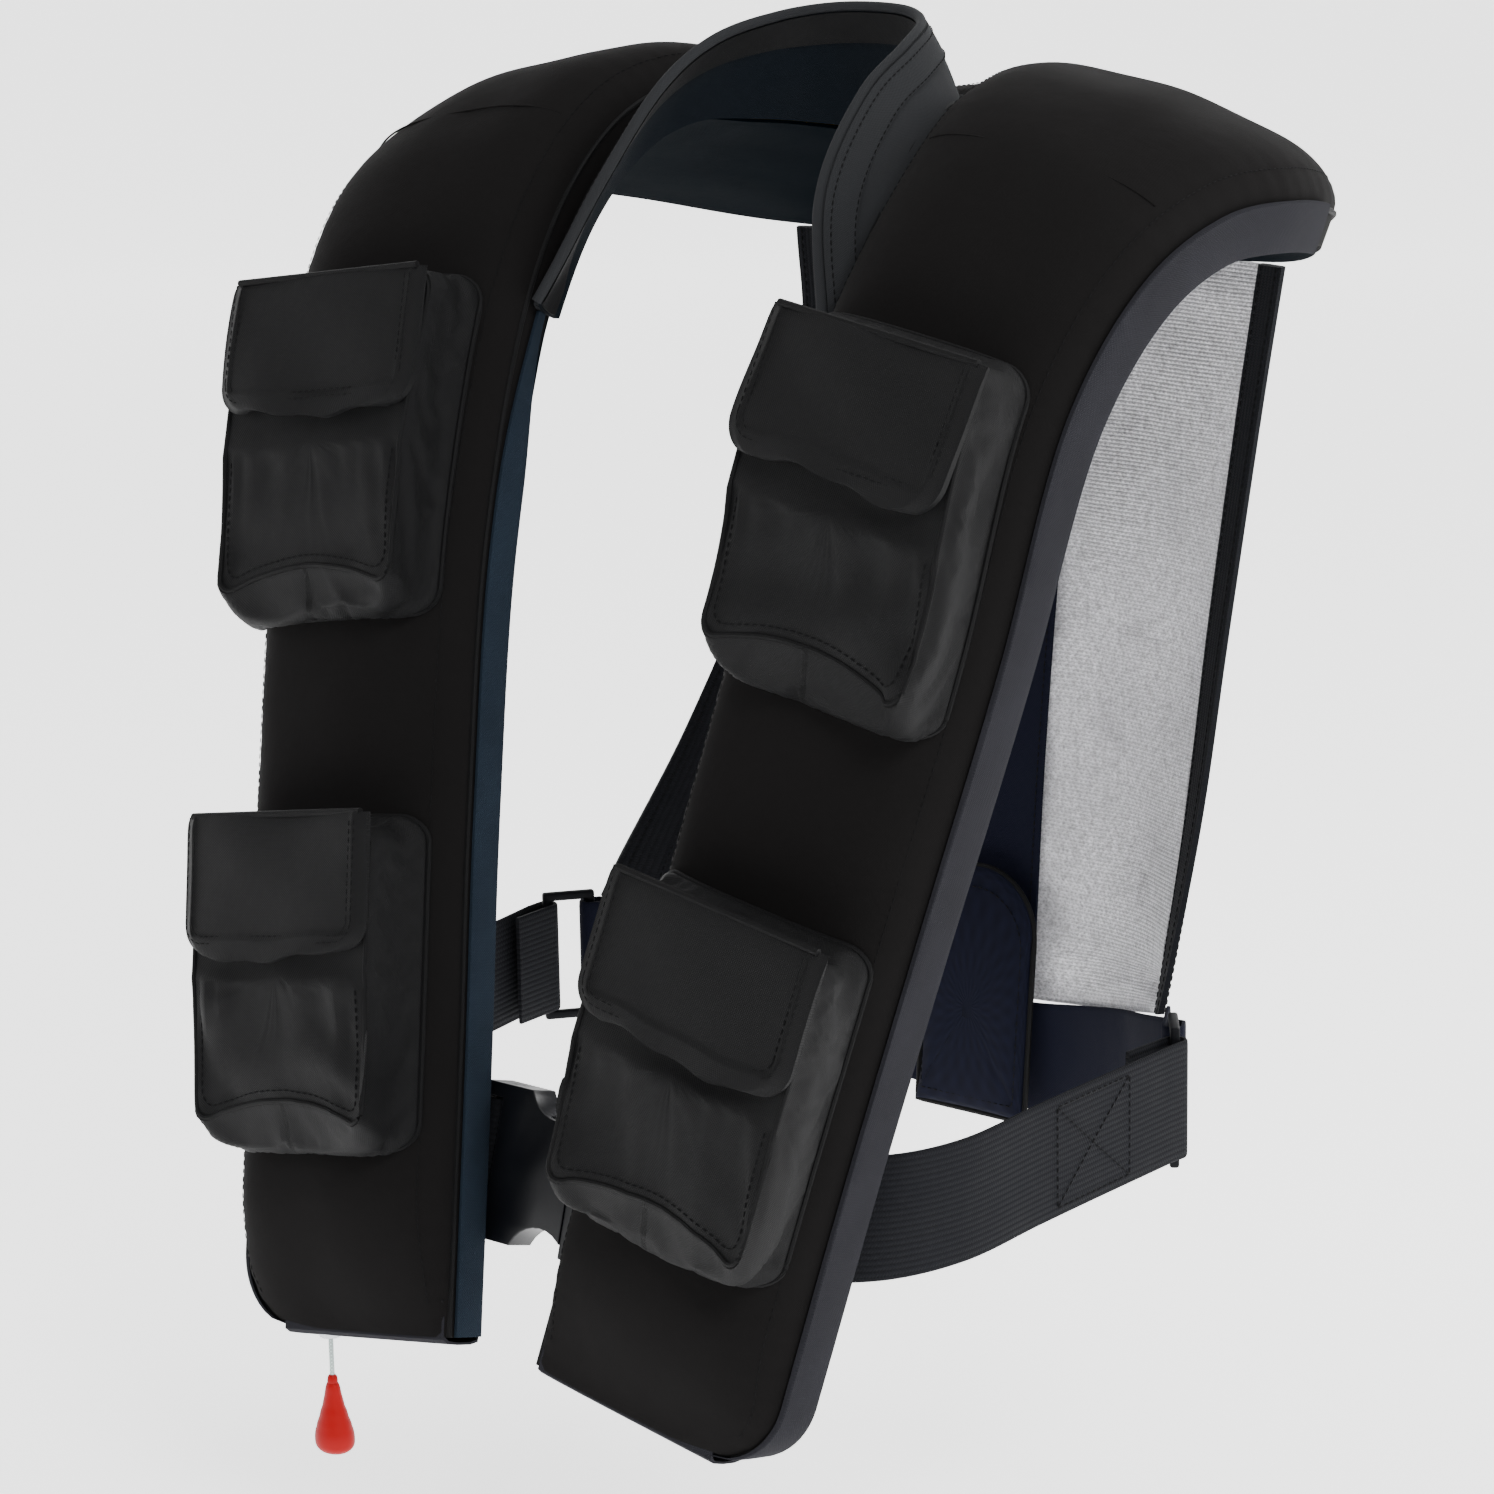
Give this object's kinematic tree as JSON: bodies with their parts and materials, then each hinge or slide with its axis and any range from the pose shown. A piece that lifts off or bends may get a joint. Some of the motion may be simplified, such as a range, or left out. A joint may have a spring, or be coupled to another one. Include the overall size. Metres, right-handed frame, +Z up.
{
  "type": "inflatable life jacket",
  "caption": "Horseshoe inflatable life jacket with bellows pockets, stand collar, mesh back, waist belt, side-release buckle and manual pull-cord inflator.",
  "frame": {"origin": "middle of the neck opening, level with the shoulder line", "axes": "+X towards the wearer's left, -Y towards the front, +Z up"},
  "size_m": [0.4296, 0.4051, 0.5855],
  "materials": {
    "cover_fabric": "smooth matt coated fabric",
    "lining": "plain navy lining",
    "edge_tape": "coarse ribbed dark grey tape",
    "collar_fabric": "dark grey woven",
    "pocket_fabric": "woven, slightly satin",
    "back_mesh": "silver grey mesh",
    "webbing": "ribbed belt webbing",
    "navy_fabric": "navy woven",
    "black_plastic": "moulded, satin",
    "red_plastic": "moulded, glossy",
    "steel": "brushed",
    "bladder_fabric": "coated, yellow",
    "whistle_plastic": "moulded",
    "hook_and_loop": "napped",
    "cord": "braided, pale"
  },
  "bodies": {
    "root": {"cover_left": "cover_fabric", "cover_right": "cover_fabric", "cover_yoke": "cover_fabric", "liner_left": "lining", "liner_right": "lining", "liner_yoke": "lining", "side_band_left": "edge_tape", "side_band_right": "edge_tape", "inner_tape_left": "edge_tape", "inner_tape_right": "edge_tape", "collar": "collar_fabric", "collar_binding": "collar_fabric", "upper_pocket_left": "pocket_fabric", "lower_pocket_left": "pocket_fabric", "upper_pocket_right": "pocket_fabric", "lower_pocket_right": "pocket_fabric", "upper_pocket_left_loop_strip": "hook_and_loop", "lower_pocket_left_loop_strip": "hook_and_loop", "upper_pocket_right_loop_strip": "hook_and_loop", "lower_pocket_right_loop_strip": "hook_and_loop", "back_mesh": "back_mesh", "edge_binding_left": "webbing", "edge_binding_right": "webbing", "front_belt_left": "webbing", "front_belt_right": "webbing", "belt_keeper_left": "webbing", "belt_keeper_right": "webbing", "back_strap": "navy_fabric", "lumbar_pad": "navy_fabric", "back_belt": "navy_fabric", "side_ring_left": "black_plastic", "side_ring_right": "black_plastic", "buckle_socket": "black_plastic", "inflator_head": "black_plastic", "bladder_manifold": "black_plastic", "oral_tube": "black_plastic", "oral_valve": "black_plastic", "manifold_nut": "steel", "hem_grommet": "steel", "bladder": "bladder_fabric", "whistle": "whistle_plastic"},
    "plug": {"buckle_plug": "black_plastic", "plug_webbing": "webbing"},
    "arm_upper": {"release_arm_upper": "black_plastic"},
    "arm_lower": {"release_arm_lower": "black_plastic"},
    "pull": {"pull_cord": "cord", "pull_knob": "red_plastic"},
    "lever": {"firing_lever": "red_plastic"},
    "pin": {"piercing_pin": "steel"},
    "cylinder": {"gas_cylinder": "steel"},
    "cap": {"dust_cap": "red_plastic"},
    "poppet": {"valve_poppet": "red_plastic"},
    "upper_flap_left": {"upper_pocket_left_flap": "pocket_fabric", "upper_pocket_left_hook_strip": "hook_and_loop"},
    "lower_flap_left": {"lower_pocket_left_flap": "pocket_fabric", "lower_pocket_left_hook_strip": "hook_and_loop"},
    "upper_flap_right": {"upper_pocket_right_flap": "pocket_fabric", "upper_pocket_right_hook_strip": "hook_and_loop"},
    "lower_flap_right": {"lower_pocket_right_flap": "pocket_fabric", "lower_pocket_right_hook_strip": "hook_and_loop"}
  },
  "joints": [
    {"name": "upper_flap_left_lift", "type": "hinge", "parent": "root", "child": "upper_flap_left", "pos_m": [0.1433, -0.12891, -0.08727], "axis": [-0.9878, 0.0535, 0.1459], "range_deg": [0, 150]},
    {"name": "lower_flap_left_lift", "type": "hinge", "parent": "root", "child": "lower_flap_left", "pos_m": [0.11709, -0.19637, -0.29746], "axis": [-0.985, 0, 0.1728], "range_deg": [0, 150]},
    {"name": "upper_flap_right_lift", "type": "hinge", "parent": "root", "child": "upper_flap_right", "pos_m": [-0.1433, -0.12891, -0.08727], "axis": [-0.9878, -0.0535, -0.1459], "range_deg": [0, 150]},
    {"name": "lower_flap_right_lift", "type": "hinge", "parent": "root", "child": "lower_flap_right", "pos_m": [-0.11709, -0.19637, -0.29746], "axis": [-0.985, 0, -0.1728], "range_deg": [0, 150]},
    {"name": "buckle_slide", "type": "slide", "parent": "root", "child": "plug", "axis": [1, 0, 0], "range_m": [0, 0.03], "deforming": ["front_belt_left"]},
    {"name": "upper_arm_press", "type": "hinge", "parent": "plug", "child": "arm_upper", "pos_m": [0.0041, -0.14765, -0.42166], "axis": [0, -0.96, 0.28], "range_deg": [0, 5], "stiffness_Nm_per_rad": 2.7},
    {"name": "lower_arm_press", "type": "hinge", "parent": "plug", "child": "arm_lower", "pos_m": [0.0041, -0.15835, -0.45834], "axis": [0, 0.96, -0.28], "range_deg": [0, 5], "stiffness_Nm_per_rad": 2.7},
    {"name": "cord_pull", "type": "slide", "parent": "root", "child": "pull", "axis": [0, 0, -1], "range_m": [0, 0.0275]},
    {"name": "lever_swing", "type": "hinge", "parent": "root", "child": "lever", "pos_m": [-0.07559, -0.19351, -0.42062], "axis": [-0.0453, -0.965, 0.2584], "range_deg": [0, 75]},
    {"name": "pin_stroke", "type": "slide", "parent": "root", "child": "pin", "axis": [-0.1667, 0.2623, 0.9505], "range_m": [0, 0.004]},
    {"name": "cylinder_unscrew", "type": "hinge", "parent": "root", "child": "cylinder", "pos_m": [-0.08988, -0.15694, -0.33916], "axis": [-0.1667, 0.2623, 0.9505], "continuous": true},
    {"name": "cap_pull", "type": "slide", "parent": "root", "child": "cap", "axis": [0.1665, 0.2673, 0.9491], "range_m": [0, 0.025]},
    {"name": "poppet_press", "type": "slide", "parent": "root", "child": "poppet", "axis": [-0.1665, -0.2673, -0.9491], "range_m": [0, 0.003], "stiffness_N_per_m": 400}
  ],
  "couplings": [
    {"joint": "lever_swing", "follows": "cord_pull", "rad_per_m": 45.455},
    {"joint": "pin_stroke", "follows": "cord_pull", "ratio": 0.14}
  ]
}
